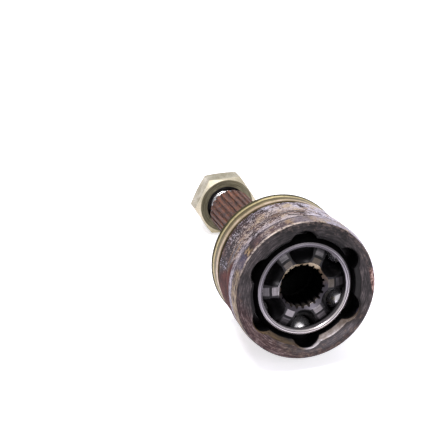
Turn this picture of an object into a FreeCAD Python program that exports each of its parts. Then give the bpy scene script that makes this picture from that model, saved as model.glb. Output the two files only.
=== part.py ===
import FreeCAD, Part
import math
import os
import re

import Sketcher
from FreeCAD import Rotation, Vector

# Outboard constant-velocity joint of a front-wheel-drive axle.
# The joint centre is the origin and the stub shaft points along +Y, so the
# mouth of the bell faces -Y. Lengths are millimetres, angles are degrees.

doc = FreeCAD.newDocument("cv_joint")

# Driving dimensions. Lengths along the bell and its stub follow one another
# from the mouth face to the end of the thread.
SIZES = {
    # Ball mechanism
    "ball_count": 6,  # balls, tracks and cage windows
    "ball_diameter": 15.875,
    "pitch_radius": 30.0,  # joint centre to ball centre
    "track_offset": 4.0,  # track centres ahead of and behind the joint centre
    "track_clearance": 0.3,  # ball surface to track surface
    "track_sweep": 70.0,  # towards the mouth, past the end of the metal
    "track_runout": 32.0,  # towards the closed end
    "sphere_clearance": 0.3,  # cage to bell and race to cage

    # Cage
    "cage_standout": 2.0,  # outer sphere beyond the ball centres
    "cage_wall": 4.2,  # between its two spheres
    "cage_half_width": 16.2,  # joint centre to an end face
    "cage_rim": 2.4,  # width of the end face on the mouth side
    "cage_edge": 0.6,  # chamfer of that face
    "window_clearance": 0.55,  # ball to window wall, along the axis
    "window_side_clearance": 1.86,  # ball to window wall, around the cage
    "window_corner": 3.2,

    # Inner race
    "race_half_width": 13.3,  # joint centre to an end face
    "race_face": 3.6,  # width of the flat part of the end faces
    "race_bevel": 2.4,  # end faces fall back by this towards the barrel
    "bore_radius": 12.6,  # tips of the internal splines
    "bore_spline_depth": 1.1,
    "bore_spline_teeth": 22,
    "bore_gap_tip": 0.54,  # gap between two teeth, in tooth pitches, at the tips
    "bore_gap_root": 0.32,  # and at the roots
    "bore_chamfer": 2.5,
    "clip_wire": 1.9,  # section of the retaining ring
    "clip_inset": 4.0,  # centre of the ring to the closed-side face
    "clip_protrusion": 0.5,  # ring standing out of its groove into the bore
    "clip_clearance": 0.08,  # ring to groove wall
    "clip_gap": 32.0,  # opening of the split ring, degrees

    # Mouth of the bell
    "mouth_depth": 19.0,  # joint centre to the mouth face
    "mouth_lip": 1.3,  # opening is smaller than the ball cup by this
    "mouth_draft": 0.6,  # and narrows by this inwards
    "mouth_chamfer": 2.4,
    "mouth_chamfer_depth": 3.0,
    "track_chamfer": 1.9,  # a track is wider than its section by this at the mouth face

    # Outside of the bell
    "belt_wall": 3.4,  # metal outside the ball tracks
    "rim_step": 0.5,  # rim stands out beyond the belt
    "rim_flare": 0.8,  # rim is smaller at the mouth face
    "rim_length": 7.6,  # mouth face to the boot groove
    "rim_land": 1.1,  # straight part of the rim, beside the groove
    "rim_round": 1.0,
    "groove_width": 2.7,
    "groove_depth": 0.75,
    "belt_length": 8.7,
    "belt_taper": 5.0,  # length of the slope down to the wall
    "wall_step": 1.4,  # wall is smaller than the belt
    "wall_length": 15.0,
    "seat_taper": 2.2,
    "seat_step": 1.8,  # seat of the pressed-on ring is smaller than the wall
    "seat_length": 12.4,
    "back_edge": 1.4,  # round between that seat and the back face
    "back_taper": 4.0,  # back face leans by this
    "boss_radius": 28.7,  # boss that the wheel hub rests on
    "boss_length": 7.3,
    "boss_chamfer": 0.8,
    "boss_fillet": 1.5,
    "pocket_radius": 12.0,  # flat-bottomed room for the shaft end
    "pocket_depth": 3.2,  # beyond the ball cup

    # Stub shaft
    "journal_radius": 15.1,  # plain collar that centres the hub
    "journal_length": 15.1,
    "journal_fillet": 4.0,
    "journal_chamfer": 0.7,
    "journal_step": 1.0,  # spline tips are smaller than the collar
    "spline_length": 70.5,
    "spline_depth": 1.15,
    "spline_teeth": 22,
    "spline_gap_tip": 0.6,  # gap between two teeth, in tooth pitches, at the tips
    "spline_gap_root": 0.28,  # and at the roots
    "spline_nose": 2.6,  # rounded end of the splines
    "neck_length": 4.1,
    "neck_relief": 1.0,  # neck is smaller than the thread
    "thread_radius": 10.0,
    "thread_length": 24.8,
    "thread_chamfer": 1.2,
    "centre_radius": 3.2,  # centre drilling in the end face
    "centre_tip_radius": 1.1,
    "centre_depth": 4.2,

    # Cover ring
    "ring_sheet": 0.8,
    "ring_grip": 8.9,  # skirt on the seat
    "ring_lead": 1.0,  # lip starts to open this far before the seat ends
    "ring_overhang": 1.6,  # lip stands past the seat
    "ring_flare": 0.9,  # lip is wider than the skirt
    "ring_bend": 5.0,

    # Hub nut
    "nut_park": 4.3,  # bearing face past the first full thread
    "nut_across_flats": 36.0,
    "nut_hex_length": 15.4,
    "nut_washer_inset": 0.7,  # flats to the edge of the bearing face
    "nut_crown_inset": 1.4,  # flats to the edge of the outer face
    "nut_bevel": 2.3,  # length of the bevel on the corners
    "nut_clearance": 0.06,  # nut bore to the thread
    "nut_lead_in": 3.0,
    "nut_collar_length": 7.1,
    "nut_collar_wall": 2.2,
    "nut_collar_relief": 0.24,  # collar is wider inside than the bore
    "nut_collar_step": 0.6,
    "nut_collar_round": 0.6,

    # Cutting
    "cutter_lead": 0.2,  # spline cutters stand past the tips
    "cutter_run": 1.0,  # other cutters run past the faces
}

sheet = doc.addObject("Spreadsheet::Sheet", "Sizes")
sheet.Label = "Sizes"
for row, (alias, number) in enumerate(SIZES.items(), 1):
    sheet.set("A%d" % row, alias)
    sheet.set("B%d" % row, str(number))
    sheet.setAlias("B%d" % row, alias)
doc.recompute()

# Radii that follow from the driving dimensions.
CAGE_RADIUS = "(pitch_radius + cage_standout)"
TRACK_RADIUS = "sqrt(pitch_radius ^ 2 + track_offset ^ 2)"
TRACK_SECTION = "(ball_diameter / 2 + track_clearance)"
TRACK_AT_MOUTH = "sqrt(" + TRACK_RADIUS + " ^ 2 - (mouth_depth - track_offset) ^ 2)"
CUP_RADIUS = "(" + CAGE_RADIUS + " + sphere_clearance)"
CAGE_INSIDE = "(" + CAGE_RADIUS + " - cage_wall)"
CAGE_END = "sqrt(" + CAGE_RADIUS + " ^ 2 - cage_half_width ^ 2)"
CAGE_ENTRY = "(" + CAGE_END + " - cage_rim)"
RACE_RADIUS = "(" + CAGE_INSIDE + " - sphere_clearance)"
RACE_FACE = "(bore_radius + bore_chamfer + race_face)"
BORE_ROOT = "(bore_radius + bore_spline_depth)"
CLIP_RADIUS = "(bore_radius - clip_protrusion + clip_wire / 2)"
MOUTH_RADIUS = "(" + CUP_RADIUS + " - mouth_lip)"
BELT_RADIUS = "(" + TRACK_RADIUS + " + " + TRACK_SECTION + " + belt_wall)"
RIM_RADIUS = "(" + BELT_RADIUS + " + rim_step)"
RIM_FACE = "(" + RIM_RADIUS + " - rim_flare)"
GROOVE_RADIUS = "(" + RIM_RADIUS + " - groove_depth)"
WALL_RADIUS = "(" + BELT_RADIUS + " - wall_step)"
SEAT_RADIUS = "(" + WALL_RADIUS + " - seat_step)"
SPLINE_RADIUS = "(journal_radius - journal_step)"
NECK_RADIUS = "(thread_radius - neck_relief)"
NUT_CORNER = "(nut_across_flats / sqrt(3))"
NUT_HOLE = "(thread_radius + nut_clearance)"
COLLAR_INSIDE = "(" + NUT_HOLE + " + nut_collar_relief)"
COLLAR_RADIUS = "(" + COLLAR_INSIDE + " + nut_collar_wall)"

# Places on the Y axis.
MOUTH = "-mouth_depth"
RIM_END = MOUTH + " + rim_length"
GROOVE_END = RIM_END + " + groove_width"
BELT_END = GROOVE_END + " + belt_length"
WALL_START = BELT_END + " + belt_taper"
WALL_END = WALL_START + " + wall_length"
SEAT_START = WALL_END + " + seat_taper"
SEAT_END = SEAT_START + " + seat_length"
BOSS_FOOT = SEAT_END + " + back_taper"
BOSS_FACE = BOSS_FOOT + " + boss_length"
JOURNAL_END = BOSS_FACE + " + journal_length"
SPLINE_END = JOURNAL_END + " + spline_length"
THREAD_START = SPLINE_END + " + neck_length"
THREAD_END = THREAD_START + " + thread_length"
NUT_FACE = THREAD_START + " + nut_park"
HEX_END = NUT_FACE + " + nut_hex_length"
NUT_END = HEX_END + " + nut_collar_length"
CLIP_PLACE = "race_half_width - clip_inset"

# Two places closer than this count as one.
SAME = 1e-4


def formula(text):
    """The text with each size written the way an expression needs it."""

    def name(match):
        word = match.group(0)
        if word in SIZES:
            return "Sizes." + word
        return word

    return re.sub(r"[a-z_][a-z_0-9]*", name, text)


def bind(feature, prop, text):
    feature.setExpression(prop, formula(text))


def value(text):
    """What a formula amounts to now, as a plain number."""
    result = sheet.evalExpression(formula(text))
    return float(getattr(result, "Value", result))


def minus(text):
    return "-(" + text + ")"


def new_body(label):
    body = doc.addObject("PartDesign::Body", label)
    body.Label = label
    return body


def origin_feature(body, role):
    for feature in body.Origin.OriginFeatures:
        if feature.Role == role:
            return feature
    raise ValueError(role)


def new_sketch(body, name, role, offset=None):
    sketch = body.newObject("Sketcher::SketchObject", name)
    sketch.AttachmentSupport = (origin_feature(body, role), [""])
    sketch.MapMode = "FlatFace"
    if offset:
        bind(sketch, "AttachmentOffset.Base.z", offset)
    return sketch


def across_axis(body, name, place="0"):
    """A sketch square to the stub at a place on the Y axis."""
    return new_sketch(body, name, "XZ_Plane", minus(place))


def place_point(sketch, geometry, point, x_text, y_text):
    """Ties one point of the sketch to formulas. None leaves that direction free."""
    for kind, axis, text in (("DistanceX", -2, x_text), ("DistanceY", -1, y_text)):
        if text is None:
            continue
        if text == "0":
            sketch.addConstraint(Sketcher.Constraint("PointOnObject", geometry, point, axis))
            continue
        constraint = Sketcher.Constraint(kind, -1, 1, geometry, point, value(text))
        number = sketch.addConstraint(constraint)
        bind(sketch, "Constraints[%d]" % number, text)


def closed_outline(sketch, corners):
    """Draws the corners as one closed outline.

    A corner is (x, y), reached by a straight line, or (x, y, centre x, centre y),
    reached by an arc about that centre. An arc's far end is held in the direction
    in which it can slide along the arc, and the radius settles the other.
    """
    points = [Vector(value(x_text), value(y_text), 0) for x_text, y_text, *arc in corners]
    ends = []
    for index, (x_text, y_text, *arc) in enumerate(corners):
        start = points[index - 1]
        end = points[index]
        if not arc:
            sketch.addGeometry(Part.LineSegment(start, end), False)
            ends.append((1, 2))
            continue
        centre = Vector(value(arc[0]), value(arc[1]), 0)
        circle = Part.Circle(centre, Vector(0, 0, 1), (end - centre).Length)
        first = math.atan2(start.y - centre.y, start.x - centre.x)
        last = math.atan2(end.y - centre.y, end.x - centre.x)
        turns_left = (last - first) % (2 * math.pi) <= math.pi + SAME
        if turns_left:
            sketch.addGeometry(Part.ArcOfCircle(circle, first, last), False)
            ends.append((1, 2))
        else:
            sketch.addGeometry(Part.ArcOfCircle(circle, last, first), False)
            ends.append((2, 1))
    for index in range(len(corners)):
        before = (index - 1) % len(corners)
        join = Sketcher.Constraint("Coincident", before, ends[before][1], index, ends[index][0])
        sketch.addConstraint(join)
    for index, (x_text, y_text, *arc) in enumerate(corners):
        if arc:
            place_point(sketch, index, 3, arc[0], arc[1])
            reach = points[index] - Vector(value(arc[0]), value(arc[1]), 0)
            if abs(reach.x) > abs(reach.y):
                x_text = None
            else:
                y_text = None
        place_point(sketch, index, ends[index][1], x_text, y_text)
    return sketch


def circle_outline(sketch, x_text, y_text, radius_text):
    centre = Vector(value(x_text), value(y_text), 0)
    circle = Part.Circle(centre, Vector(0, 0, 1), value(radius_text))
    geometry = sketch.addGeometry(circle, False)
    radius = Sketcher.Constraint("Radius", geometry, value(radius_text))
    number = sketch.addConstraint(radius)
    bind(sketch, "Constraints[%d]" % number, radius_text)
    place_point(sketch, geometry, 3, x_text, y_text)
    return sketch


def turned(body, name, corners, kind="PartDesign::Revolution"):
    """A feature turned about the Y axis from a half section on the XY plane."""
    sketch = closed_outline(new_sketch(body, name + "_section", "XY_Plane"), corners)
    feature = body.newObject(kind, name)
    feature.Profile = sketch
    feature.ReferenceAxis = (sketch, ["V_Axis"])
    feature.Angle = 360
    return feature


def bored(body, name, corners):
    return turned(body, name, corners, "PartDesign::Groove")


def around_axis(body, name, originals, count):
    pattern = body.newObject("PartDesign::PolarPattern", name)
    pattern.Originals = originals
    pattern.Axis = (origin_feature(body, "Y_Axis"), [""])
    pattern.Angle = 360
    bind(pattern, "Occurrences", count)
    body.Tip = pattern
    return pattern


def swept_track(body, centre_place, sweep_back):
    """One ball track: the ball's section swept about a point on the Y axis, to the
    mouth side by the track's own sweep and to the closed side by sweep_back."""
    sketch = across_axis(body, body.Name + "_track_section", centre_place)
    circle_outline(sketch, "0", TRACK_RADIUS, TRACK_SECTION)
    track = body.newObject("PartDesign::Groove", body.Name + "_track")
    track.Profile = sketch
    track.ReferenceAxis = (sketch, ["H_Axis"])
    track.Type = "TwoAngles"
    bind(track, "Angle", "track_sweep")
    bind(track, "Angle2", sweep_back)
    return track


def circle_edges(body, places):
    """Names of the circular edges about the Y axis at (radius, y) places."""
    doc.recompute()
    names = []
    for number, edge in enumerate(body.Shape.Edges, 1):
        if not isinstance(edge.Curve, Part.Circle):
            continue
        for radius_text, y_text in places:
            same_radius = abs(edge.Curve.Radius - value(radius_text)) < SAME
            same_place = abs(edge.Curve.Center.y - value(y_text)) < SAME
            if same_radius and same_place:
                names.append("Edge%d" % number)
    return names


def dressed(body, kind, name, size_property, size, places):
    names = circle_edges(body, places)
    base = body.Tip
    feature = body.newObject(kind, name)
    feature.Base = (base, names)
    bind(feature, size_property, size)
    body.Tip = feature
    return feature


def rounded(body, name, radius, places):
    return dressed(body, "PartDesign::Fillet", name, "Radius", radius, places)


def chamfered(body, name, size, places):
    return dressed(body, "PartDesign::Chamfer", name, "Size", size, places)


# Outer race: bell, boss and stub shaft forged and turned in one piece.

def make_outer_race():
    body = new_body("outer_race")
    turned(body, "forging", [
        ("0", MOUTH),
        (RIM_FACE, MOUTH),
        (RIM_RADIUS, RIM_END + " - rim_land"),
        (RIM_RADIUS, RIM_END),
        (GROOVE_RADIUS, RIM_END + " + groove_depth / 2"),
        (GROOVE_RADIUS, GROOVE_END),
        (BELT_RADIUS, GROOVE_END),
        (BELT_RADIUS, BELT_END),
        (WALL_RADIUS, WALL_START),
        (WALL_RADIUS, WALL_END),
        (SEAT_RADIUS, SEAT_START),
        (SEAT_RADIUS, SEAT_END),
        ("boss_radius", BOSS_FOOT),
        ("boss_radius", BOSS_FACE),
        ("journal_radius", BOSS_FACE),
        ("journal_radius", JOURNAL_END),
        (SPLINE_RADIUS, JOURNAL_END),
        (SPLINE_RADIUS, SPLINE_END),
        (NECK_RADIUS, SPLINE_END),
        (NECK_RADIUS, THREAD_START + " - thread_chamfer"),
        ("thread_radius", THREAD_START),
        ("thread_radius", THREAD_END + " - thread_chamfer"),
        ("thread_radius - thread_chamfer", THREAD_END),
        ("0", THREAD_END),
    ])
    rounded(body, "rim_edge", "rim_round", [(RIM_FACE, MOUTH)])
    rounded(body, "seat_edge", "back_edge", [(SEAT_RADIUS, SEAT_END)])
    rounded(body, "boss_foot", "boss_fillet", [("boss_radius", BOSS_FOOT)])
    chamfered(body, "boss_edge", "boss_chamfer", [("boss_radius", BOSS_FACE)])
    rounded(body, "journal_foot", "journal_fillet", [("journal_radius", BOSS_FACE)])
    chamfered(body, "journal_edge", "journal_chamfer", [("journal_radius", JOURNAL_END)])
    nose = "min(spline_nose; (" + SPLINE_RADIUS + " - " + NECK_RADIUS + ") * 0.9)"
    rounded(body, "spline_tip", nose, [(SPLINE_RADIUS, SPLINE_END)])
    bored(body, "centre_drilling", [
        ("0", THREAD_END + " - centre_depth"),
        ("centre_tip_radius", THREAD_END + " - centre_depth"),
        ("centre_radius", THREAD_END),
        ("0", THREAD_END),
    ])
    bored(body, "ball_cup", [
        ("0", minus(CUP_RADIUS)),
        ("0", CUP_RADIUS, "0", "0"),
    ])
    bored(body, "mouth_opening", [
        ("0", MOUTH + " / 2"),
        (MOUTH_RADIUS + " - mouth_draft", MOUTH + " / 2"),
        (MOUTH_RADIUS, MOUTH + " + mouth_chamfer_depth"),
        (MOUTH_RADIUS + " + mouth_chamfer", MOUTH),
        ("0", MOUTH),
    ])
    bored(body, "shaft_end_pocket", [
        ("0", "0"),
        ("pocket_radius", "0"),
        ("pocket_radius", CUP_RADIUS + " + pocket_depth"),
        ("0", CUP_RADIUS + " + pocket_depth"),
    ])
    track = swept_track(body, "-track_offset", "track_runout")
    doc.recompute()
    track_end = body.newObject("PartDesign::SubtractiveSphere", "track_end")
    bind(track_end, "Radius", TRACK_SECTION)
    bind(track_end, "Placement.Base.y", "-track_offset + " + TRACK_RADIUS + " * sin(track_runout)")
    bind(track_end, "Placement.Base.z", TRACK_RADIUS + " * cos(track_runout)")
    around_axis(body, "ball_tracks", [track, track_end], "ball_count")
    doc.recompute()
    slope = "track_chamfer / mouth_chamfer_depth"
    track_mouth = body.newObject("PartDesign::SubtractiveCone", "track_mouth")
    bind(track_mouth, "Height", "mouth_chamfer_depth + cutter_run")
    bind(track_mouth, "Radius1", TRACK_SECTION)
    bind(track_mouth, "Radius2", TRACK_SECTION + " + track_chamfer + cutter_run * " + slope)
    track_mouth.Placement.Rotation = Rotation(Vector(1, 0, 0), 90)
    bind(track_mouth, "Placement.Base.y", MOUTH + " + mouth_chamfer_depth")
    bind(track_mouth, "Placement.Base.z", TRACK_AT_MOUTH)
    around_axis(body, "track_mouths", [track_mouth], "ball_count")
    cut_external_splines(body)
    return body


def cut_external_splines(body):
    pitch = "(2 * pi * " + SPLINE_RADIUS + " / spline_teeth)"
    root = SPLINE_RADIUS + " - spline_depth"
    outside = SPLINE_RADIUS + " + cutter_lead"
    half_tip = "spline_gap_tip * " + pitch + " / 2"
    half_root = "spline_gap_root * " + pitch + " / 2"
    sketch = closed_outline(across_axis(body, "spline_gap_section", JOURNAL_END), [
        (minus(half_root), root),
        (half_root, root),
        (half_tip, outside),
        (minus(half_tip), outside),
    ])
    gap = body.newObject("PartDesign::Pocket", "spline_gap")
    gap.Profile = sketch
    bind(gap, "Length", "spline_length")
    around_axis(body, "splines", [gap], "spline_teeth")


# Pressed sheet ring on the back of the bell, open like a trumpet at its lip.

def make_cover_ring():
    body = new_body("cover_ring")
    outside = SEAT_RADIUS + " + ring_sheet"
    flare_start = SEAT_END + " - ring_lead"
    lip = SEAT_END + " + ring_overhang"
    turned(body, "sheet", [
        (SEAT_RADIUS, SEAT_END + " - ring_grip"),
        (outside, SEAT_END + " - ring_grip"),
        (outside, flare_start),
        (outside + " + ring_flare", lip),
        (SEAT_RADIUS + " + ring_flare", lip),
        (SEAT_RADIUS, flare_start),
    ])
    rounded(body, "bend", "ring_bend", [(SEAT_RADIUS, flare_start), (outside, flare_start)])
    return body


# Hub nut with a thin collar that is staked into the stub's thread.

def make_hub_nut():
    body = new_body("hub_nut")
    half_flats = "nut_across_flats / 2"
    hexagon = body.newObject("PartDesign::Pad", "hexagon_pad")
    hexagon.Profile = closed_outline(across_axis(body, "hexagon", NUT_FACE), [
        (NUT_CORNER, "0"),
        (NUT_CORNER + " / 2", half_flats),
        (minus(NUT_CORNER + " / 2"), half_flats),
        (minus(NUT_CORNER), "0"),
        (minus(NUT_CORNER + " / 2"), minus(half_flats)),
        (NUT_CORNER + " / 2", minus(half_flats)),
    ])
    hexagon.Reversed = True
    bind(hexagon, "Length", "nut_hex_length")
    outside = "(" + NUT_CORNER + " + cutter_run)"
    for name, face, inward, inset in (("washer_bevel", NUT_FACE, " + ", "nut_washer_inset"),
                                      ("crown_bevel", HEX_END, " - ", "nut_crown_inset")):
        radius = "(" + half_flats + " - " + inset + ")"
        slope = "nut_bevel / (" + NUT_CORNER + " - " + radius + ")"
        bored(body, name, [
            (radius, face),
            (outside, face),
            (outside, face + inward + "(" + outside + " - " + radius + ") * " + slope),
        ])
    turned(body, "collar", [
        ("0", HEX_END + " - cutter_run"),
        (COLLAR_RADIUS, HEX_END + " - cutter_run"),
        (COLLAR_RADIUS, NUT_END),
        ("0", NUT_END),
    ])
    rounded(body, "collar_edge", "nut_collar_round", [(COLLAR_RADIUS, NUT_END)])
    bored(body, "threaded_hole", [
        ("0", NUT_FACE),
        (NUT_HOLE + " + nut_lead_in", NUT_FACE),
        (NUT_HOLE, NUT_FACE + " + nut_lead_in"),
        (NUT_HOLE, HEX_END),
        (COLLAR_INSIDE, HEX_END + " + nut_collar_step"),
        (COLLAR_INSIDE, NUT_END),
        ("0", NUT_END),
    ])
    return body


# Cage: a spherical shell with one window for each ball.

def make_ball_cage():
    body = new_body("ball_cage")
    turned(body, "shell", [
        (CAGE_END, "-cage_half_width"),
        (CAGE_END, "cage_half_width", "0", "0"),
        ("sqrt(" + CAGE_INSIDE + " ^ 2 - cage_half_width ^ 2)", "cage_half_width"),
        (CAGE_ENTRY, "-sqrt(" + CAGE_INSIDE + " ^ 2 - " + CAGE_ENTRY + " ^ 2)", "0", "0"),
        (CAGE_ENTRY, "-cage_half_width"),
    ])
    chamfered(body, "mouth_side_edges", "cage_edge",
              [(CAGE_ENTRY, "-cage_half_width"), (CAGE_END, "-cage_half_width")])
    half_width = "(ball_diameter / 2 + window_clearance)"
    half_length = "(ball_diameter / 2 + window_side_clearance)"
    flat_end = "(" + half_width + " - window_corner)"
    flat_side = "(" + half_length + " - window_corner)"
    window = body.newObject("PartDesign::Pocket", "window")
    window.Profile = closed_outline(new_sketch(body, "window_section", "XY_Plane"), [
        (flat_side, minus(half_width)),
        (half_length, minus(flat_end), flat_side, minus(flat_end)),
        (half_length, flat_end),
        (flat_side, half_width, flat_side, flat_end),
        (minus(flat_side), half_width),
        (minus(half_length), flat_end, minus(flat_side), flat_end),
        (minus(half_length), minus(flat_end)),
        (minus(flat_side), minus(half_width), minus(flat_side), minus(flat_end)),
    ])
    window.Reversed = True
    bind(window, "Length", CAGE_RADIUS + " + cutter_run")
    around_axis(body, "windows", [window], "ball_count")
    return body


# Inner race: a barrel with ball tracks outside and splines inside.

def make_inner_race():
    body = new_body("inner_race")
    barrel_end = "(race_half_width - race_bevel)"
    barrel_end_radius = "sqrt(" + RACE_RADIUS + " ^ 2 - " + barrel_end + " ^ 2)"
    turned(body, "barrel", [
        (RACE_FACE, "-race_half_width"),
        (barrel_end_radius, minus(barrel_end)),
        (barrel_end_radius, barrel_end, "0", "0"),
        (RACE_FACE, "race_half_width"),
        ("bore_radius", "race_half_width"),
        ("bore_radius", "-race_half_width"),
    ])
    chamfered(body, "bore_edges", "bore_chamfer",
              [("bore_radius", "race_half_width"), ("bore_radius", "-race_half_width")])
    half_groove = "(clip_wire / 2 + clip_clearance)"
    groove_floor = CLIP_RADIUS + " + " + half_groove
    bored(body, "clip_groove", [
        ("0", CLIP_PLACE + " - " + half_groove),
        (groove_floor, CLIP_PLACE + " - " + half_groove),
        (groove_floor, CLIP_PLACE + " + " + half_groove),
        ("0", CLIP_PLACE + " + " + half_groove),
    ])
    track = swept_track(body, "track_offset", "track_sweep")
    around_axis(body, "race_tracks", [track], "ball_count")
    cut_internal_splines(body)
    return body


def cut_internal_splines(body):
    pitch = "(2 * pi * bore_radius / bore_spline_teeth)"
    inside = "bore_radius - cutter_lead"
    half_tip = "bore_gap_tip * " + pitch + " / 2"
    half_root = "bore_gap_root * " + pitch + " / 2"
    sketch = closed_outline(new_sketch(body, "bore_gap_section", "XZ_Plane"), [
        (minus(half_tip), inside),
        (half_tip, inside),
        (half_root, BORE_ROOT),
        (minus(half_root), BORE_ROOT),
    ])
    gap = body.newObject("PartDesign::Pocket", "bore_gap")
    gap.Profile = sketch
    gap.Midplane = True
    bind(gap, "Length", "2 * (race_half_width + cutter_run)")
    around_axis(body, "bore_splines", [gap], "bore_spline_teeth")


# Split ring that snaps behind the end of the axle shaft.

def make_retaining_ring():
    body = new_body("retaining_ring")
    sketch = new_sketch(body, "wire_section", "XY_Plane")
    circle_outline(sketch, CLIP_RADIUS, CLIP_PLACE, "clip_wire / 2")
    ring = body.newObject("PartDesign::Revolution", "ring")
    ring.Profile = sketch
    ring.ReferenceAxis = (sketch, ["V_Axis"])
    bind(ring, "Angle", "360 - clip_gap")
    return body


# Balls: one in each window, on the plane through the joint centre. The first is on top.

def make_ball(number):
    ball = doc.addObject("Part::Sphere", "ball_%d" % number)
    ball.Label = "ball_%d" % number
    turn = "(90 - %d * 360 / ball_count)" % (number - 1)
    bind(ball, "Radius", "ball_diameter / 2")
    bind(ball, "Placement.Base.x", "pitch_radius * cos" + turn)
    bind(ball, "Placement.Base.z", "pitch_radius * sin" + turn)
    return ball


parts = [
    make_outer_race(),
    make_cover_ring(),
    make_hub_nut(),
    make_ball_cage(),
    make_inner_race(),
    make_retaining_ring(),
]
for number in range(1, SIZES["ball_count"] + 1):
    parts.append(make_ball(number))
doc.recompute()

for feature in doc.Objects:
    if "Invalid" in feature.State or "Error" in feature.State:
        raise RuntimeError("failed: " + feature.Label)
for part in parts:
    if part.Shape.isNull() or not part.Shape.isValid():
        raise RuntimeError("bad shape: " + part.Label)

os.makedirs("parts", exist_ok=True)
for part in parts:
    part.Shape.exportStep("parts/" + part.Label + ".step")
    print(part.Label, "solids", len(part.Shape.Solids), "volume", round(part.Shape.Volume / 1000, 3))
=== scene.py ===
import math
from types import SimpleNamespace

import bpy
from mathutils import Matrix, Vector

# A worn constant-velocity joint lying on a white sweep, mouth towards the camera.
# The joint centre is the origin, the stub points along +Y and the mouth looks along
# -Y. Blender works in metres; the materials work in millimetres.

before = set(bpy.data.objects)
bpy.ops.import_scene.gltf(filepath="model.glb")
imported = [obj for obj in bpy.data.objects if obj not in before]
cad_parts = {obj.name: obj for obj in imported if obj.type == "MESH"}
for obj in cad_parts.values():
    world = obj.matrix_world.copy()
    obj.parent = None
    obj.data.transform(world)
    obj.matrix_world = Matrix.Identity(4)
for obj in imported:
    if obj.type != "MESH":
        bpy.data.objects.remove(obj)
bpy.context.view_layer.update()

TRACKS = 6  # each with its ball

# Places on the outer race. A pair is a stretch along Y; a radius is about the stub.
MOUTH = -18.9
FACE_BACK = -18.4
FACE_RADIUS = 41.2
LIP = (-18.9, -15.9)
LIP_RADIUS = 38.5
RIM = (-18.4, -11.2)
GROOVE = (-11.4, -8.6)
INSIDE_REACH = 39.7  # from the joint centre
BELL_BACK = 34.2
STUB_START = 46.2
STUB_RADIUS = 16.0
SPLINES = (61.2, 130.4)
SPLINE_FLANK_RADIUS = 13.75
SPLINE_ROOT_RADIUS = 13.35
PLAIN_END = 130.6
THREAD = (135.8, 159.6)
THREAD_PITCH = 1.5
THREAD_INNER_RADIUS = 7.0
DULL_END = 141.0
# Where the painted highlight along the rim's outer edge ends, and its radius.
EDGE_HIGHLIGHT_END = -17.8
EDGE_HIGHLIGHT_RADIUS = 41.0

# Ovals of heat tint over the tracks: degrees about the stub, and millimetres along Y.
TINT_HALF_WIDTH = 13.0
TINT_MIDDLE = 2.6
TINT_HALF_LENGTH = 3.2

# Radii at which the surfaces with streaks are laid flat.
SKIN_RADIUS = 41.0
FACE_MARKS_RADIUS = 37.0
NUT_MARKS_RADIUS = 15.0
CAGE_MARKS_RADIUS = 26.0
RACE_MARKS_RADIUS = 21.0

# The cover ring along Y, from the bell's wall to its open lip.
RING_FRONT = 26.6
RING_STEP = 29.2
RING_HOLLOW = (30.9, 33.2)
RING_FLARE = (33.2, 34.6)
RING_EDGE = 34.7
RING_SEAT_RADIUS = 39.3

# The hub nut.
NUT_FACE = 140.2
NUT_BORE_START = 140.05
NUT_BEVEL = 142.2
NUT_CONE = 143.2
NUT_WASHER_RADIUS = 17.4
NUT_CONE_RADIUS = 12.95
NUT_THREAD_RADIUS = 10.45

# The cage's ground end and the windowed wall behind it.
CAGE_END = -15.5
CAGE_END_RADIUS = 24.6
CAGE_LINE = (25.9, 26.5)
CAGE_CORNER_RADIUS = 27.1
CAGE_WALL_START = -12.5
CAGE_WALL_RADIUS = 25.6

# The inner race: its end, the lead-in cone and the splines of its bore.
RACE_FRONT = -10.0
RACE_FRONT_RADIUS = 15.0
RACE_END = -13.15
RACE_END_RADIUS = 18.8
RACE_STEP = (18.7, 20.3)
RACE_CONE_END = -10.9
RACE_CONE_RADIUS = 15.15
RACE_TOOTH_RADIUS = 13.8
RACE_ROOT_RADIUS = 13.2
RACE_DEEP = -5.0
RACE_DEEP_RADIUS = 15.6

BALL_GREASE_RADIUS = 30.5

# Colours that are mixed in, as 0xRRGGBB.
TAN = 0xA8927C  # dried film on the bare metal
CRACK = 0x261B1F
STRAW = 0x8A6C4E  # heat tints, from the outer one inwards
BLUE_BLACK = 0x34323C
GOLD = 0x9C8262
VIOLET = 0x45435A
RIM_BROWN = 0x5A4C50
GROOVE_DARK = 0x352B2E
# Painted highlight on the rim's outer edge.
EDGE_HIGHLIGHT = 0xA89A92
SPLINE_ROOT_DARK = 0x221819
CLEAN_STEEL_AND_HIGHLIGHT = 0xE2E0E4
FRECKLE = 0x70605A
UNLIT = 0x020202
RING_WALL = 0x6A563E
RING_SHADE = 0x4E4222
RING_FLARE_HIGHLIGHT = 0xB0A27A
RING_EDGE_SHADE = 0x37321A
RING_BACK = 0x6B6240
RING_SPOT = 0x5E4F3C
NUT_GRAIN = 0x6E6551
NUT_BEVEL_HIGHLIGHT = 0xD8CDB6
NUT_OLIVE = 0x857A50
NUT_BORE_SHADE = 0x14110F
CAGE_GROOVE_LINE = 0x2C292D
CAGE_CORNER = 0x5C575B
LIT_CAGE_WALL = 0xA29CA0
RACE_STEP_SHADE = 0x1B1A1C
RACE_OIL = 0x1D1C1E
RACE_FLAT_OIL = 0x232224
RACE_CONE_LIGHT = 0xE8D6BC
RACE_CONE_SIDE = 0xC9C4C8
RACE_SCALLOP = 0x121113
RACE_BORE_SHADE = 0x040405
BALL_GREASE = 0x232022


def tint(code):
    """A colour written as 0xRRGGBB, as the linear colour that a shader takes."""
    parts = [(code >> shift & 255) / 255 for shift in (16, 8, 0)]
    linear = (c / 12.92 if c <= 0.04045 else ((c + 0.055) / 1.055) ** 2.4 for c in parts)
    return tuple(linear) + (1.0,)


def cleared_tree(owner):
    """The node tree of a material or world, with nothing in it."""
    owner.use_nodes = True
    owner.node_tree.nodes.clear()
    return owner.node_tree


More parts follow.
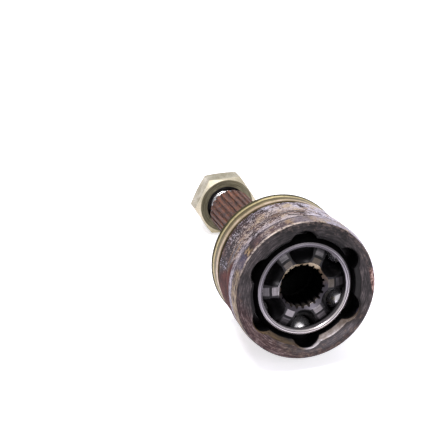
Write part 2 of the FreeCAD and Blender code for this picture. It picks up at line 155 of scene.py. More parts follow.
class Shader:
    """One procedural material, put together from small steps on its node tree."""

    SOCKETS = {"base_color": "Base Color", "metallic": "Metallic", "roughness": "Roughness",
               "normal": "Normal", "specular": "Specular IOR Level"}
    MILLIMETRES = 1000.0

    def __init__(self, name):
        self.material = bpy.data.materials.new(name)
        self.tree = cleared_tree(self.material)
        self.surface = self.tree.nodes.new("ShaderNodeBsdfPrincipled")
        output = self.tree.nodes.new("ShaderNodeOutputMaterial")
        self.tree.links.new(self.surface.outputs[0], output.inputs["Surface"])
        place = self.tree.nodes.new("ShaderNodeTexCoord").outputs["Object"]
        self.place = self.vector("SCALE", place, scale=self.MILLIMETRES)
        self.x, self.y, self.z = self.node("ShaderNodeSeparateXYZ", {0: self.place}).outputs

    def node(self, kind, inputs, **settings):
        node = self.tree.nodes.new(kind)
        for key, setting in settings.items():
            setattr(node, key, setting)
        for key, given in inputs.items():
            if isinstance(given, bpy.types.NodeSocket):
                self.tree.links.new(given, node.inputs[key])
            else:
                node.inputs[key].default_value = given
        return node

    def vector(self, operation, first, second=None, scale=None):
        inputs = {0: first}
        if second is not None:
            inputs[1] = second
        if scale is not None:
            inputs["Scale"] = scale
        node = self.node("ShaderNodeVectorMath", inputs, operation=operation)
        return node.outputs["Value" if operation in ("LENGTH", "DOT_PRODUCT") else "Vector"]

    def math(self, operation, *values):
        inputs = dict(enumerate(values))
        return self.node("ShaderNodeMath", inputs, operation=operation).outputs[0]

    def add(self, a, b):
        return self.math("ADD", a, b)

    def minus(self, a, b):
        return self.math("SUBTRACT", a, b)

    def times(self, a, b):
        return self.math("MULTIPLY", a, b)

    def larger(self, a, b):
        return self.math("MAXIMUM", a, b)

    def square(self, value):
        return self.math("POWER", value, 2.0)

    def without(self, mask):
        return self.minus(1.0, mask)

    def centred(self, noise):
        """A noise of 0 to 1 as -0.5 to 0.5."""
        return self.minus(noise, 0.5)

    def above(self, value, edge, soft):
        """1 where value is over the edge, 0 where it is under, smooth between."""
        inputs = {"Value": value, "From Min": edge - soft, "From Max": edge + soft}
        return self.node("ShaderNodeMapRange", inputs, interpolation_type="SMOOTHSTEP").outputs[0]

    def below(self, value, edge, soft):
        return self.without(self.above(value, edge, soft))

    def between(self, value, low, high, soft):
        return self.times(self.above(value, low, soft), self.below(value, high, soft))

    def noise(self, size, detail, rough, seed, stretch=(1, 1, 1), over=None):
        """Cloudy noise with features about size millimetres across, as 0 to 1.

        The seed takes it from another place of the same endless noise.
        """
        scale = tuple(1.0 / (size * s) for s in stretch)
        moved = self.vector("MULTIPLY", over or self.place, scale)
        moved = self.vector("ADD", moved, (seed, seed * 1.7, seed * 0.6))
        inputs = {"Vector": moved, "Scale": 1.0, "Detail": detail, "Roughness": rough}
        return self.node("ShaderNodeTexNoise", inputs).outputs["Fac"]

    def ramp(self, value, *stops):
        """Colours at places along value, as (place, 0xRRGGBB) pairs."""
        node = self.node("ShaderNodeValToRGB", {"Fac": value})
        elements = node.color_ramp.elements
        while len(elements) < len(stops):
            elements.new(0.5)
        for element, (position, code) in zip(elements, stops):
            element.position = position
            element.color = tint(code)
        return node.outputs["Color"]

    # The mixing node has its two numbers at 2 and 3, and its two colours at 6 and 7.

    def mix(self, amount, first, second):
        """A colour that goes from first to second."""
        inputs = {0: amount, 6: self.colour(first), 7: self.colour(second)}
        return self.node("ShaderNodeMix", inputs, data_type="RGBA").outputs[2]

    def colour(self, given):
        return tint(given) if isinstance(given, int) else given

    def blend(self, amount, first, second):
        """A plain number that goes from first to second."""
        return self.node("ShaderNodeMix", {0: amount, 2: first, 3: second}).outputs[0]

    def bump(self, height, distance, normal=None):
        """Height is 0 to 1, distance is what 1 amounts to in millimetres."""
        inputs = {"Height": height, "Distance": distance / self.MILLIMETRES, "Strength": 1.0}
        if normal is not None:
            inputs["Normal"] = normal
        return self.node("ShaderNodeBump", inputs).outputs["Normal"]

    def finish(self, **values):
        """Sets the shader's own sockets, such as base_color or roughness."""
        for key, given in values.items():
            socket = self.surface.inputs[self.SOCKETS[key]]
            if isinstance(given, bpy.types.NodeSocket):
                self.tree.links.new(given, socket)
            else:
                socket.default_value = given
        return self.material

    def radius(self):
        squares = self.add(self.times(self.x, self.x), self.times(self.z, self.z))
        return self.math("SQRT", squares)

    def turn(self):
        """Angle about the stub in turns, 0 on top, with its seam underneath."""
        return self.times(self.math("ARCTAN2", self.x, self.z), 0.5 / math.pi)

    def off_track(self):
        """Degrees about the stub from the nearest ball track, 0 to 30."""
        part = self.math("FRACT", self.add(self.times(self.turn(), TRACKS), TRACKS))
        middle = self.math("ABSOLUTE", self.centred(part))
        return self.times(self.minus(0.5, middle), 360.0 / TRACKS)

    def unrolled(self, radius):
        """The surface laid flat: millimetres around the stub, along it and away from it."""
        around = self.times(self.turn(), 2 * math.pi * radius)
        inputs = {0: around, 1: self.y, 2: self.radius()}
        return self.node("ShaderNodeCombineXYZ", inputs).outputs[0]

    def towards(self, x, z):
        """Millimetres from the stub's axis in one direction: x is right, z is up."""
        return self.vector("DOT_PRODUCT", self.place, (x, 0.0, z))


# In the marks below, every edge is followed by the softness of its transition, and
# every noise starts with its size in millimetres, its detail and its roughness.


def outer_race_zones(s):
    """Where each kind of surface of the outer race is, as 0 to 1."""
    r, y = s.radius(), s.y
    reach = s.vector("LENGTH", s.place)
    return SimpleNamespace(
        inside=s.times(s.below(reach, INSIDE_REACH, 0.05), s.above(y, MOUTH, 0.04)),
        face=s.times(s.below(y, FACE_BACK, 0.1), s.below(r, FACE_RADIUS, 0.15)),
        lip=s.times(s.between(y, *LIP, 0.15), s.below(r, LIP_RADIUS, 0.2)),
        rim=s.between(y, *RIM, 0.3),
        groove=s.between(y, *GROOVE, 0.15),
        back=s.above(y, BELL_BACK, 0.3),
        stub=s.times(s.above(y, STUB_START, 0.4), s.below(r, STUB_RADIUS, 0.1)),
        splines=s.times(s.above(y, SPLINES[0], 0.2), s.below(y, SPLINES[1], 0.8)),
        plain_end=s.above(y, PLAIN_END, 0.5))


def outer_race_grain(s):
    """The noises that several marks on the outer race share."""
    skin = s.unrolled(SKIN_RADIUS)
    mouth = s.unrolled(FACE_MARKS_RADIUS)
    return SimpleNamespace(
        skin=skin,
        patches=s.noise(13.0, 2.0, 0.5, seed=5.0),
        flecks=s.noise(1.9, 5.0, 0.74, seed=7.0, stretch=(1.5, 1, 1), over=skin),
        fine=s.noise(0.9, 3.0, 0.7, seed=9.0),
        warm=s.noise(7.0, 3.0, 0.6, seed=31.0),
        round_marks=s.noise(0.9, 4.0, 0.75, seed=19.0, stretch=(7.0, 1, 0.6), over=mouth),
        clouds=s.noise(7.0, 3.0, 0.6, seed=21.0))


def bareness(s, grain):
    """How far each point of the skin is over the edge between rust and bare metal.

    Bare metal covers most of the top right and little of the left side, where the
    upper half has a spray of pale flecks in clusters. The rust that grows towards the
    lower left is partly painted shade.
    """
    # Partly painted shade: the edge leans towards rust on the side away from the light.
    edge = s.minus(0.585, s.times(s.towards(0.66, 0.75), 0.0038))
    edge = s.add(edge, s.times(s.centred(grain.patches), -0.5))
    rusty_band = s.between(s.y, 1.0, 6.0, 1.5)
    edge = s.add(edge, s.times(rusty_band, 0.03))
    level = s.minus(s.add(s.times(grain.flecks, 0.6), s.times(grain.fine, 0.4)), edge)
    spray = s.times(s.above(s.towards(-0.87, 0.5), 30.0, 6.0), s.above(s.y, -4.0, 1.0))
    clusters = s.noise(2.6, 4.0, 0.75, seed=41.0)
    clustered = s.add(s.times(grain.fine, 0.7), s.times(clusters, 0.8))
    return s.add(level, s.times(spray, s.minus(clustered, 0.765)))


def low_on_the_left(s, grain):
    """The part of the skin that a film of old oil covers, with a wavy upper edge."""
    height = s.add(s.add(s.z, s.times(s.y, 0.7)), s.times(grain.patches, 12.0))
    return s.times(s.below(height, 20.0, 3.0), s.below(s.x, -12.0, 8.0))


def rusty_skin(s, grain, level, bare, film):
    """Brown film and rust with flecks of bare lavender-grey metal."""
    rust = s.ramp(s.add(level, grain.warm),
                  (0.3, 0x1E1316), (0.42, 0x3A2A2C), (0.52, 0x543E3F), (0.62, 0x674D3D))
    metal = s.ramp(grain.warm,
                   (0.36, 0xCAC3D5), (0.52, 0xB6ACB8), (0.62, 0xBEAB9A), (0.76, 0x9C8670))
    tan = s.times(s.above(s.towards(-0.5, 0.87), 33.0, 5.0), s.below(s.y, 15.0, 4.0))
    metal = s.mix(s.times(tan, 0.6), metal, TAN)
    colour = s.mix(bare, rust, metal)
    cracks = s.noise(1.3, 4.0, 0.75, seed=12.0)
    colour = s.mix(s.times(s.above(cracks, 0.56, 0.03), 0.7), colour, CRACK)
    film_cover = s.times(film, s.blend(s.above(cracks, 0.56, 0.06), 0.92, 0.6))
    return s.mix(film_cover, colour, s.ramp(grain.warm, (0.35, 0x3E201F), (0.6, 0x5B332F)))


def heat_tint(s, zone, grain, colour):
    """Ovals of straw and blue over the tracks, left by their hardening."""
    wobble = s.times(s.centred(s.noise(6.0, 4.0, 0.7, seed=3.0)), 12.0)
    spread = s.add(s.off_track(), wobble)
    oval = s.square(s.math("DIVIDE", spread, TINT_HALF_WIDTH))
    along = s.math("DIVIDE", s.minus(s.y, TINT_MIDDLE), TINT_HALF_LENGTH)
    oval = s.add(oval, s.square(along))
    oval = s.add(oval, s.times(s.centred(grain.fine), 4.0))
    colour = s.mix(s.times(s.between(oval, 0.8, 2.0, 0.8), 0.35), colour, STRAW)
    colour = s.mix(s.times(s.below(oval, 0.9, 0.8), 0.6), colour, BLUE_BLACK)
    straw = s.times(s.between(spread, 7.0, 12.5, 2.5), zone.rim)
    colour = s.mix(s.times(straw, s.above(grain.flecks, 0.5, 0.06)), colour, GOLD)
    blue = s.times(s.below(spread, 7.0, 2.0), zone.rim)
    return s.mix(s.times(blue, 0.6), colour, VIOLET)


def rim_marks(s, zone, grain, low_left, colour):
    """Darker top and groove, pale crest behind the groove, streaks on the left, and a painted
    highlight along the rim's outer edge.
    """
    rim_top = s.times(zone.rim, s.above(s.towards(0.1, 1.0), 31.0, 6.0))
    colour = s.mix(s.times(rim_top, 0.4), colour, RIM_BROWN)
    # The groove is made darker.
    colour = s.mix(s.times(zone.groove, 0.8), colour, GROOVE_DARK)

    crest = s.times(s.above(s.add(grain.flecks, grain.patches), 1.02, 0.08), 0.5)
    rubbed = s.times(s.times(low_left, s.below(s.z, 16.0, 4.0)), s.above(grain.flecks, 0.45, 0.05))
    crest = s.larger(crest, rubbed)
    crest = s.times(crest, s.between(s.add(s.y, s.times(grain.fine, 1.6)), -8.3, -3.6, 0.6))
    pale = s.ramp(grain.fine, (0.36, 0x8A8088), (0.56, 0xC4BCC8))
    colour = s.mix(s.times(crest, 0.85), colour, pale)

    streaky = s.noise(1.2, 4.0, 0.7, seed=14.0, stretch=(5.0, 1, 0.7), over=grain.skin)
    from_middle = s.math("ABSOLUTE", s.add(s.z, 3.0))
    streaky = s.add(streaky, s.times(s.above(from_middle, 13.0, 9.0), -0.07))
    left = s.times(s.between(s.turn(), -0.42, -0.19, 0.04), zone.rim)
    streaks = s.ramp(streaky,
                     (0.38, 0x332B2C), (0.47, 0x6E5F57), (0.54, 0xAC977C), (0.64, 0xC6B6A6))
    colour = s.mix(s.times(left, 0.85), colour, streaks)

    # Painted highlight: a pale line along the rim's outer edge, on the upper left only.
    outermost = s.above(s.radius(), EDGE_HIGHLIGHT_RADIUS, 0.2)
    edge_highlight = s.times(s.below(s.y, EDGE_HIGHLIGHT_END, 0.4), outermost)
    edge_highlight = s.times(edge_highlight, s.above(s.towards(-0.5, 0.87), 33.0, 7.0))
    return s.mix(s.times(edge_highlight, s.above(grain.flecks, 0.46, 0.07)), colour, EDGE_HIGHLIGHT)


def stub_colours(s, zone, grain, colour):
    """Deep brown back and boss, rusty splines, bright plain end with a painted highlight."""
    back_rust = s.ramp(s.noise(2.6, 5.0, 0.72, seed=13.0),
                       (0.3, 0x1A1415), (0.48, 0x352725), (0.6, 0x4E3834), (0.67, 0x6B524A),
                       (0.74, 0xA79C96))
    colour = s.mix(zone.back, colour, back_rust)

    # Grey and orange streaks along the splines, mottled in the gaps between them.
    streaks = s.ramp(s.noise(1.6, 4.0, 0.65, seed=17.0, stretch=(1, 12, 1)),
                     (0.3, 0x281F21), (0.45, 0x4A3734), (0.56, 0x5E453E), (0.63, 0x7C462F),
                     (0.74, 0x7E7379))
    mottled = s.ramp(s.noise(1.4, 4.0, 0.75, seed=18.0, stretch=(1, 3.5, 1)),
                     (0.36, 0x2C2422), (0.46, 0x503B37), (0.54, 0x68483C), (0.6, 0x96593A),
                     (0.66, 0x6B6256), (0.74, 0x97908C))
    r = s.radius()
    rust = s.mix(s.blend(s.below(r, SPLINE_FLANK_RADIUS, 0.25), 0.5, 0.85), streaks, mottled)
    # The roots of the splines are made darker.
    rust = s.mix(s.times(s.below(r, SPLINE_ROOT_RADIUS, 0.2), 0.3), rust, SPLINE_ROOT_DARK)
    colour = s.mix(s.times(zone.stub, zone.splines), colour, rust)

    # Clean steel, painted near-white in front of the nut as a highlight too, duller inside the
    # nut.
    dull = s.ramp(grain.flecks, (0.4, 0x6E6A6C), (0.6, 0xA39FA2))
    steel = s.mix(s.above(s.y, DULL_END, 2.0), CLEAN_STEEL_AND_HIGHLIGHT, dull)
    return s.mix(zone.plain_end, colour, steel)


def mouth_face(s, grain):
    """Dark machined face with turning marks, browner at its edge and low on the left."""
    r = s.radius()
    tone = s.add(s.times(grain.round_marks, 0.75), s.times(grain.clouds, 0.35))
    tone = s.add(tone, s.times(s.above(s.towards(0.2, 0.98), 29.0, 8.0), -0.09))
    colour = s.ramp(tone, (0.4, 0x191718), (0.5, 0x2C2829), (0.6, 0x413B3D), (0.72, 0x6B6161))

    stain = s.add(s.noise(3.0, 4.0, 0.7, seed=23.0), s.times(s.towards(-0.35, -0.9), 0.0058))
    stain = s.add(stain, s.times(s.minus(r, 38.0), 0.022))
    brown = s.ramp(s.add(s.times(grain.flecks, 0.4), s.times(grain.round_marks, 0.6)),
                   (0.4, 0x271D20), (0.48, 0x433636), (0.54, 0x5A4C46), (0.64, 0x857467))
    colour = s.mix(s.above(stain, 0.66, 0.1), colour, brown)

    freckles = s.add(grain.flecks, s.times(s.minus(r, 40.5), 0.022))
    freckles = s.add(freckles, s.times(s.towards(0.4, 0.75), 0.0025))
    colour = s.mix(s.times(s.above(freckles, 0.61, 0.08), 0.5), colour, FRECKLE)

    rusted = s.above(s.towards(-0.8, -0.6), 32.5, 4.0)
    red = s.ramp(s.add(s.times(grain.round_marks, 0.7), s.times(grain.flecks, 0.3)),
                 (0.4, 0x251719), (0.49, 0x453234), (0.56, 0x635050), (0.63, 0xA29296))
    colour = s.mix(s.times(rusted, 0.75), colour, red)

    bruise = s.times(s.above(s.towards(0.99, 0.12), 38.6, 0.3), s.between(s.z, -13.0, 7.5, 2.0))
    pink = s.ramp(grain.flecks, (0.42, 0x4A3332), (0.5, 0x7E5E58), (0.58, 0xB59A92))
    return s.mix(s.times(bruise, 0.85), colour, pink)


def greased_inside(s):
    """Blackened by grease, and painted black behind the mechanism as shade."""
    colour = s.ramp(s.noise(4.0, 3.0, 0.6, seed=25.0),
                    (0.35, 0x070709), (0.6, 0x111012), (0.8, 0x1B1918))
    # Painted shade: black deep inside, where no light reaches.
    return s.mix(s.above(s.y, 11.0, 4.0), colour, UNLIT)


def opening_lip(s, grain):
    """The chamfers of the opening: polished, with a painted highlight that is brightest below, and
    golden brown low on the left.
    """
    # Painted highlight, partly: the chamfers grow brighter towards the bottom.
    polish_and_highlight = s.add(s.times(grain.clouds, 0.5), s.times(s.towards(0.36, -0.93), 0.06))
    polish_and_highlight = s.add(polish_and_highlight, s.times(grain.round_marks, 0.3))
    colour = s.ramp(s.minus(polish_and_highlight, 1.76),
                    (0.0, 0x1C1A1B), (0.2, 0x2E2725), (0.4, 0x4E4139), (0.55, 0x7D726E),
                    (0.66, 0xACA5AA))
    browned = s.above(s.towards(-0.6, -0.8), 31.5, 3.5)
    brown = s.ramp(grain.round_marks, (0.4, 0x43362B), (0.6, 0x7C664C))
    return s.mix(s.times(browned, 0.8), colour, brown)


def forged_steel():
    s = Shader("forged_steel")
    zone = outer_race_zones(s)
    grain = outer_race_grain(s)

    level = bareness(s, grain)
    low_left = low_on_the_left(s, grain)
    film = s.times(low_left, s.between(s.y, -4.5, 27.0, 0.5))
    bare = s.times(s.above(level, 0.0, 0.028), s.without(film))

    colour = rusty_skin(s, grain, level, bare, film)
    colour = heat_tint(s, zone, grain, colour)
    colour = rim_marks(s, zone, grain, low_left, colour)
    colour = stub_colours(s, zone, grain, colour)
    colour = s.mix(zone.face, colour, mouth_face(s, grain))
    colour = s.mix(zone.inside, colour, greased_inside(s))
    colour = s.mix(zone.lip, colour, opening_lip(s, grain))

    solid = s.without(s.larger(zone.back, zone.inside))
    metallic = s.larger(s.times(s.times(bare, solid), 0.7), s.times(zone.plain_end, 0.95))
    metallic = s.blend(zone.face, metallic, 0.45)
    rough = s.blend(bare, 0.66, 0.42)
    deep_inside = s.times(zone.inside, s.above(s.y, -4.0, 6.0))
    for mask, value in ((film, 0.85), (zone.back, 0.66), (zone.face, 0.46), (zone.inside, 0.42),
                        (deep_inside, 0.85), (zone.plain_end, 0.2)):
        rough = s.blend(mask, rough, value)

    pits = s.add(s.times(grain.flecks, 0.6), s.times(s.noise(0.7, 3.0, 0.7, seed=29.0), 0.4))
    normal = s.bump(pits, 0.4)
    thread = s.times(s.between(s.y, *THREAD, 0.3), s.above(s.radius(), THREAD_INNER_RADIUS, 0.2))
    turns = s.math("FRACT", s.add(s.math("DIVIDE", s.y, THREAD_PITCH), s.turn()))
    ridge = s.times(s.math("ABSOLUTE", s.centred(turns)), 2.0)
    normal = s.bump(s.times(ridge, thread), 0.75, normal=normal)
    return s.finish(base_color=colour, metallic=metallic, roughness=rough, specular=0.22,
                    normal=normal)


def zinc_plated_sheet():
    s = Shader("zinc_plated_sheet")
    y = s.add(s.y, s.times(s.centred(s.noise(9.0, 2.0, 0.5, seed=1.0)), 1.2))
    cloud = s.noise(11.0, 3.0, 0.6, seed=2.0)
    skirt = s.ramp(cloud, (0.36, 0xB69E88), (0.5, 0xAA9878), (0.64, 0xC6B09C))
    colour = s.mix(s.below(y, RING_FRONT, 0.2), skirt, RING_WALL)
    olive = s.ramp(cloud, (0.36, 0x6E5E3A), (0.52, 0x5A4D2A), (0.64, 0x7E6E48))
    colour = s.mix(s.above(y, RING_STEP, 0.5), colour, olive)
    # Painted shade in the hollow and along the edge of the lip, and a painted highlight on the
    # flare between them.
    colour = s.mix(s.between(y, *RING_HOLLOW, 0.3), colour, RING_SHADE)
    colour = s.mix(s.between(y, *RING_FLARE, 0.2), colour, RING_FLARE_HIGHLIGHT)
    colour = s.mix(s.above(y, RING_EDGE, 0.15), colour, RING_EDGE_SHADE)
    colour = s.mix(s.below(s.radius(), RING_SEAT_RADIUS, 0.05), colour, RING_BACK)
    spots = s.noise(1.2, 3.0, 0.7, seed=4.0)
    colour = s.mix(s.times(s.above(spots, 0.6, 0.05), 0.6), colour, RING_SPOT)
    return s.finish(base_color=colour, metallic=0.6, roughness=s.blend(spots, 0.3, 0.6),
                    normal=s.bump(s.noise(3.0, 2.0, 0.5, seed=6.0), 0.08))


def yellow_zinc_steel():
    s = Shader("yellow_zinc_steel")
    r, y = s.radius(), s.y
    cloud = s.noise(9.0, 3.0, 0.6, seed=2.5)
    colour = s.ramp(cloud, (0.3, 0x878069), (0.48, 0xA8A18E), (0.7, 0xC4BDAE))
    grain = s.noise(0.9, 4.0, 0.78, seed=8.0)
    colour = s.mix(s.times(s.above(grain, 0.53, 0.06), 0.5), colour, NUT_GRAIN)
    # Painted highlight: the bevelled corners are painted pale cream.
    bevel_highlight = s.times(s.below(y, NUT_BEVEL, 0.1), s.above(r, NUT_WASHER_RADIUS, 0.15))
    colour = s.mix(s.times(bevel_highlight, 0.5), colour, NUT_BEVEL_HIGHLIGHT)
    low = s.below(s.add(s.z, s.times(cloud, 10.0)), -6.0, 7.0)
    colour = s.mix(s.times(low, 0.5), colour, NUT_OLIVE)

    washer = s.times(s.below(y, NUT_FACE, 0.05), s.below(r, NUT_WASHER_RADIUS, 0.15))
    turned = s.noise(1.0, 3.0, 0.6, seed=9.0, stretch=(9.0, 1, 0.5),
                     over=s.unrolled(NUT_MARKS_RADIUS))
    face = s.ramp(turned, (0.35, 0x4E4A38), (0.65, 0x7E7862))
    colour = s.mix(s.times(washer, 0.9), colour, face)
    # Painted shade: the nut's cone and thread are near-black.
    cone = s.times(s.below(y, NUT_CONE, 0.1), s.below(r, NUT_CONE_RADIUS, 0.05))
    shaded_bore = s.larger(cone, s.below(r, NUT_THREAD_RADIUS, 0.05))
    shaded_bore = s.times(s.above(y, NUT_BORE_START, 0.1), shaded_bore)
    colour = s.mix(shaded_bore, colour, NUT_BORE_SHADE)
    return s.finish(base_color=colour, metallic=0.88, roughness=s.blend(grain, 0.3, 0.55),
                    normal=s.bump(grain, 0.07))


def ground_cage():
    s = Shader("ground_cage")
    r, y = s.radius(), s.y
    end = s.times(s.below(y, CAGE_END, 0.05), s.above(r, CAGE_END_RADIUS, 0.05))
    colour = s.ramp(s.noise(5.0, 3.0, 0.5, seed=1.5),
                    (0.3, 0x141316), (0.6, 0x212022), (0.8, 0x302D2C))
    marks = s.noise(1.0, 3.0, 0.6, seed=3.5, stretch=(12.0, 1, 0.4),
                    over=s.unrolled(CAGE_MARKS_RADIUS))
    shine = s.add(s.times(marks, 0.8), s.times(s.towards(0.3, -0.95), 0.0095))
    polished = s.ramp(shine, (0.2, 0x6E6970), (0.4, 0x8E8990), (0.6, 0xBDB6BA), (0.72, 0xD8CCC2))
    polished = s.mix(s.times(s.between(r, *CAGE_LINE, 0.15), 0.85), polished, CAGE_GROOVE_LINE)
    polished = s.mix(s.times(s.above(r, CAGE_CORNER_RADIUS, 0.1), 0.4), polished, CAGE_CORNER)
    colour = s.mix(end, colour, polished)
    # Painted light: the inner wall of the lower half is pale, as if lit from above, for the balls
    # to reflect.
    lower_half = s.times(s.below(r, CAGE_WALL_RADIUS, 0.1), s.below(s.z, -6.0, 4.0))
    lit_inner_wall = s.times(s.below(y, CAGE_WALL_START, 1.0), lower_half)
    colour = s.mix(s.times(lit_inner_wall, 0.8), colour, LIT_CAGE_WALL)
    return s.finish(base_color=colour, metallic=0.85, roughness=s.blend(end, 0.42, 0.25),
                    normal=s.bump(s.noise(0.8, 2.0, 0.6, seed=5.5), 0.02))


def ground_race():
    s = Shader("ground_race")
    r, y, off = s.radius(), s.y, s.off_track()
    front = s.times(s.below(y, RACE_FRONT, 0.3), s.above(r, RACE_FRONT_RADIUS, 0.1))
    flat = s.times(s.below(y, RACE_END, 0.05), s.below(r, RACE_END_RADIUS, 0.05))
    lead_in = s.times(s.below(y, RACE_CONE_END, 0.1), s.below(r, RACE_CONE_RADIUS, 0.05))
    teeth = s.times(s.below(r, RACE_TOOTH_RADIUS, 0.05), s.above(y, RACE_CONE_END, 0.1))
    deep = s.times(s.above(y, RACE_DEEP, 1.0), s.below(r, RACE_DEEP_RADIUS, 0.1))

    # Oil lies beside the tracks and leaves the middle of each land bare. The lands
    # are half way between the tracks.
    from_track = s.times(s.times(off, math.pi / 180), r)
    from_land = s.minus(s.times(r, math.pi / TRACKS), from_track)
    land = s.times(s.above(from_land, 0.0, 0.1), s.below(from_land, 2.5, 0.4))

    dark = s.ramp(s.noise(4.0, 3.0, 0.6, seed=2.2), (0.3, 0x0D0D0F), (0.7, 0x1C1A1D))
    lines = s.noise(0.8, 2.0, 0.5, seed=4.0, stretch=(14.0, 1, 0.5),
                    over=s.unrolled(RACE_MARKS_RADIUS))
    grey = s.ramp(lines, (0.35, 0x3A383B), (0.65, 0x666266))
    grey = s.mix(s.between(r, *RACE_STEP, 0.15), grey, RACE_STEP_SHADE)
    colour = s.mix(front, dark, s.mix(land, RACE_OIL, grey))
    shine = s.add(s.times(lines, 0.5), s.times(s.towards(-0.55, -0.8), 0.016))
    patch = s.ramp(shine, (0.05, 0x443E38), (0.25, 0x585352), (0.45, 0x7C777B))
    colour = s.mix(flat, colour, s.mix(land, RACE_FLAT_OIL, patch))

    # The lead-in cone has painted highlights, brightest on top, and ends at the scallops of the
    # tracks.
    lit = s.add(s.towards(-0.15, 0.98), s.times(s.centred(lines), 4.0))
    ends = s.times(s.above(off, 15.0, 6.0), s.above(lit, 8.0, 3.0))
    cone = s.ramp(s.times(s.add(lit, 15.0), 1.0 / 30.0),
                  (0.0, 0x47434A), (0.4, 0x38343A), (0.72, 0x6A5846), (0.9, 0xCDB698))
    cone = s.mix(ends, cone, RACE_CONE_LIGHT)
    cone = s.mix(s.above(s.towards(-0.97, 0.25), 13.5, 0.25), cone, RACE_CONE_SIDE)
    scallop = s.add(s.times(s.square(off), 0.0042), 14.05)
    cone = s.mix(s.above(s.minus(r, scallop), 0.0, 0.15), cone, RACE_SCALLOP)
    colour = s.mix(lead_in, colour, cone)

    # Painted light and shade on the teeth: their first millimetres are lit, longest at the bottom,
    # and they fade into painted shade deeper in and at the roots.
    teeth_shade = s.add(s.times(s.add(y, 10.8), 0.21), s.times(s.add(s.z, 9.5), 0.16))
    teeth_shade = s.add(teeth_shade, s.times(s.above(r, RACE_ROOT_RADIUS, 0.2), 0.3))
    tooth_light_and_shade = s.ramp(teeth_shade, (0.0, 0x8A7F78), (0.45, 0x2E2A2B), (0.9, 0x040405))
    colour = s.mix(teeth, colour, tooth_light_and_shade)
    # Painted shade: the bore is black beyond its first millimetres.
    colour = s.mix(deep, colour, RACE_BORE_SHADE)

    rough = s.blend(front, 0.45, 0.36)
    rough = s.blend(flat, rough, 0.26)
    rough = s.blend(teeth, rough, s.blend(teeth_shade, 0.4, 0.95))
    rough = s.blend(deep, rough, 0.95)
    metallic = s.blend(s.larger(teeth, deep), 0.85, 1.0)
    return s.finish(base_color=colour, metallic=metallic, roughness=rough,
                    normal=s.bump(s.noise(0.7, 2.0, 0.6, seed=4.4), 0.02))


def spring_steel():
    s = Shader("spring_steel")
    # Near-black: a dark finish, and painted shade for the ring deep in the bore.
    colour = s.ramp(s.noise(3.0, 2.0, 0.5, seed=1.1), (0.3, 0x040404), (0.7, 0x0B0A0A))
    return s.finish(base_color=colour, metallic=0.5, roughness=0.85, specular=0.1,
                    normal=s.bump(s.noise(0.8, 2.0, 0.5, seed=2.1), 0.02))


def bearing_steel():
    s = Shader("bearing_steel")
    smear = s.noise(5.0, 2.0, 0.5, seed=6.6)
    colour = s.ramp(smear, (0.35, 0xC4C1C6), (0.6, 0xDAD6DA), (0.75, 0xCDBFA8))
    greasy = s.above(s.radius(), BALL_GREASE_RADIUS, 0.8)
    colour = s.mix(greasy, colour, BALL_GREASE)
    rough = s.blend(greasy, s.blend(smear, 0.13, 0.34), 0.6)
    return s.finish(base_color=colour, metallic=0.85, roughness=rough,
                    normal=s.bump(s.noise(2.5, 2.0, 0.5, seed=7.7), 0.01))


# Finishes of the CAD pieces.
ball_finish = bearing_steel()
finishes = {
    "outer_race": forged_steel(),
    "cover_ring": zinc_plated_sheet(),
    "hub_nut": yellow_zinc_steel(),
    "ball_cage": ground_cage(),
    "inner_race": ground_race(),
    "retaining_ring": spring_steel(),
}
for number in range(1, TRACKS + 1):
    finishes["ball_%d" % number] = ball_finish
for name, finish in finishes.items():
    for material_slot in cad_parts[name].material_slots:
        material_slot.material = finish


# White sweep. It passes under the lip of the cover ring and a flat of the nut, on
# which the joint lies, so it rises by 10.9 degrees towards the stub's end.

FLOOR_RISE = 0.1926
FLOOR_DROP = -0.0474
FLOOR_HALF_SIDE = 3.0
FLOOR_COLOUR = (0.84, 0.82, 0.88, 1.0)
FLOOR_GLOW = 0.62
ROOM_COLOUR = (0.94, 0.93, 1.0, 1.0)
ROOM_STRENGTH = 0.5
WHITE = (1.0, 1.0, 1.0, 1.0)

# Lamps: place, target, size and power.
LAMPS = {
    "key": ((-0.3, -0.35, 1.15), (0.0, 0.0, 0.0), 0.45, 14.0),
    "front": ((0.3, -1.3, 0.5), (0.0, 0.0, 0.0), 0.7, 5.0),
    "back": ((0.3, 0.6, 1.1), (0.0, 0.05, 0.0), 0.8, 4.0),
}

CAMERA_PLACE = (-0.300303, -0.921844, 0.384308)
CAMERA_RIGHT = (0.95924, -0.27941, -0.04238)
CAMERA_UP = (0.1317, 0.30929, 0.9418)
CAMERA_BACK = (-0.25005, -0.90899, 0.33348)
CAMERA_LENS = 150.7
CAMERA_SENSOR = 36.0


def white_floor():
    half = FLOOR_HALF_SIDE
    mesh = bpy.data.meshes.new("floor")
    corners = [(x, y, FLOOR_DROP + FLOOR_RISE * y) for x, y in
               ((-half, -half), (half, -half), (half, half), (-half, half))]
    mesh.from_pydata(corners, [], [(0, 1, 2, 3)])
    floor = bpy.data.objects.new("floor", mesh)
    bpy.context.scene.collection.objects.link(floor)
    material = bpy.data.materials.new("white_sweep")
    tree = cleared_tree(material)
    diffuse = tree.nodes.new("ShaderNodeBsdfDiffuse")
    diffuse.inputs["Color"].default_value = FLOOR_COLOUR
    glow = tree.nodes.new("ShaderNodeEmission")
    glow.inputs["Color"].default_value = WHITE
    level = tree.nodes.new("ShaderNodeMath")
    level.operation = "MULTIPLY"
    level.inputs[1].default_value = FLOOR_GLOW
    tree.links.new(seen_directly(tree), level.inputs[0])
    tree.links.new(level.outputs[0], glow.inputs["Strength"])
    both = tree.nodes.new("ShaderNodeAddShader")
    output = tree.nodes.new("ShaderNodeOutputMaterial")
    tree.links.new(diffuse.outputs[0], both.inputs[0])
    tree.links.new(glow.outputs[0], both.inputs[1])
    tree.links.new(both.outputs[0], output.inputs["Surface"])
    mesh.materials.append(material)


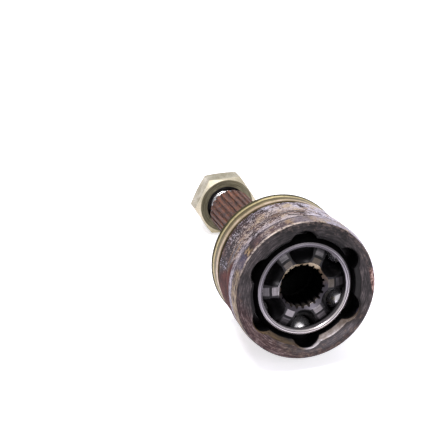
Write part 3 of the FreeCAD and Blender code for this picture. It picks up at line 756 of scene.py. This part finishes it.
def seen_directly(tree):
    """1 for rays from the camera, off gloss and through glass, 0 for the room's light."""
    path = tree.nodes.new("ShaderNodeLightPath")
    seen = path.outputs["Is Camera Ray"]
    for kind in ("Is Glossy Ray", "Is Transmission Ray"):
        either = tree.nodes.new("ShaderNodeMath")
        either.operation = "MAXIMUM"
        tree.links.new(seen, either.inputs[0])
        tree.links.new(path.outputs[kind], either.inputs[1])
        seen = either.outputs[0]
    return seen


def background(tree, colour, strength):
    node = tree.nodes.new("ShaderNodeBackground")
    node.inputs["Color"].default_value = colour
    node.inputs["Strength"].default_value = strength
    return node.outputs[0]


def pale_room():
    world = bpy.data.worlds.new("pale_room")
    tree = cleared_tree(world)
    choice = tree.nodes.new("ShaderNodeMixShader")
    output = tree.nodes.new("ShaderNodeOutputWorld")
    tree.links.new(seen_directly(tree), choice.inputs["Fac"])
    tree.links.new(background(tree, ROOM_COLOUR, ROOM_STRENGTH), choice.inputs[1])
    tree.links.new(background(tree, WHITE, 1.0), choice.inputs[2])
    tree.links.new(choice.outputs[0], output.inputs["Surface"])
    bpy.context.scene.world = world


def soft_light(name, place, target, size, power):
    lamp = bpy.data.lights.new(name, "AREA")
    lamp.shape = "DISK"
    lamp.size = size
    lamp.energy = power
    holder = bpy.data.objects.new(name, lamp)
    holder.location = place
    view = Vector(target) - Vector(place)
    holder.rotation_euler = view.to_track_quat("-Z", "Y").to_euler()
    bpy.context.scene.collection.objects.link(holder)


def add_camera():
    axes = Matrix((CAMERA_RIGHT, CAMERA_UP, CAMERA_BACK)).transposed().to_4x4()
    camera = bpy.data.cameras.new("camera")
    camera.sensor_width = CAMERA_SENSOR
    camera.lens = CAMERA_LENS
    holder = bpy.data.objects.new("camera", camera)
    holder.matrix_world = Matrix.Translation(CAMERA_PLACE) @ axes
    bpy.context.scene.collection.objects.link(holder)
    bpy.context.scene.camera = holder


white_floor()
pale_room()
for name, settings in LAMPS.items():
    soft_light(name, *settings)
add_camera()
bpy.context.scene.view_settings.view_transform = "Standard"
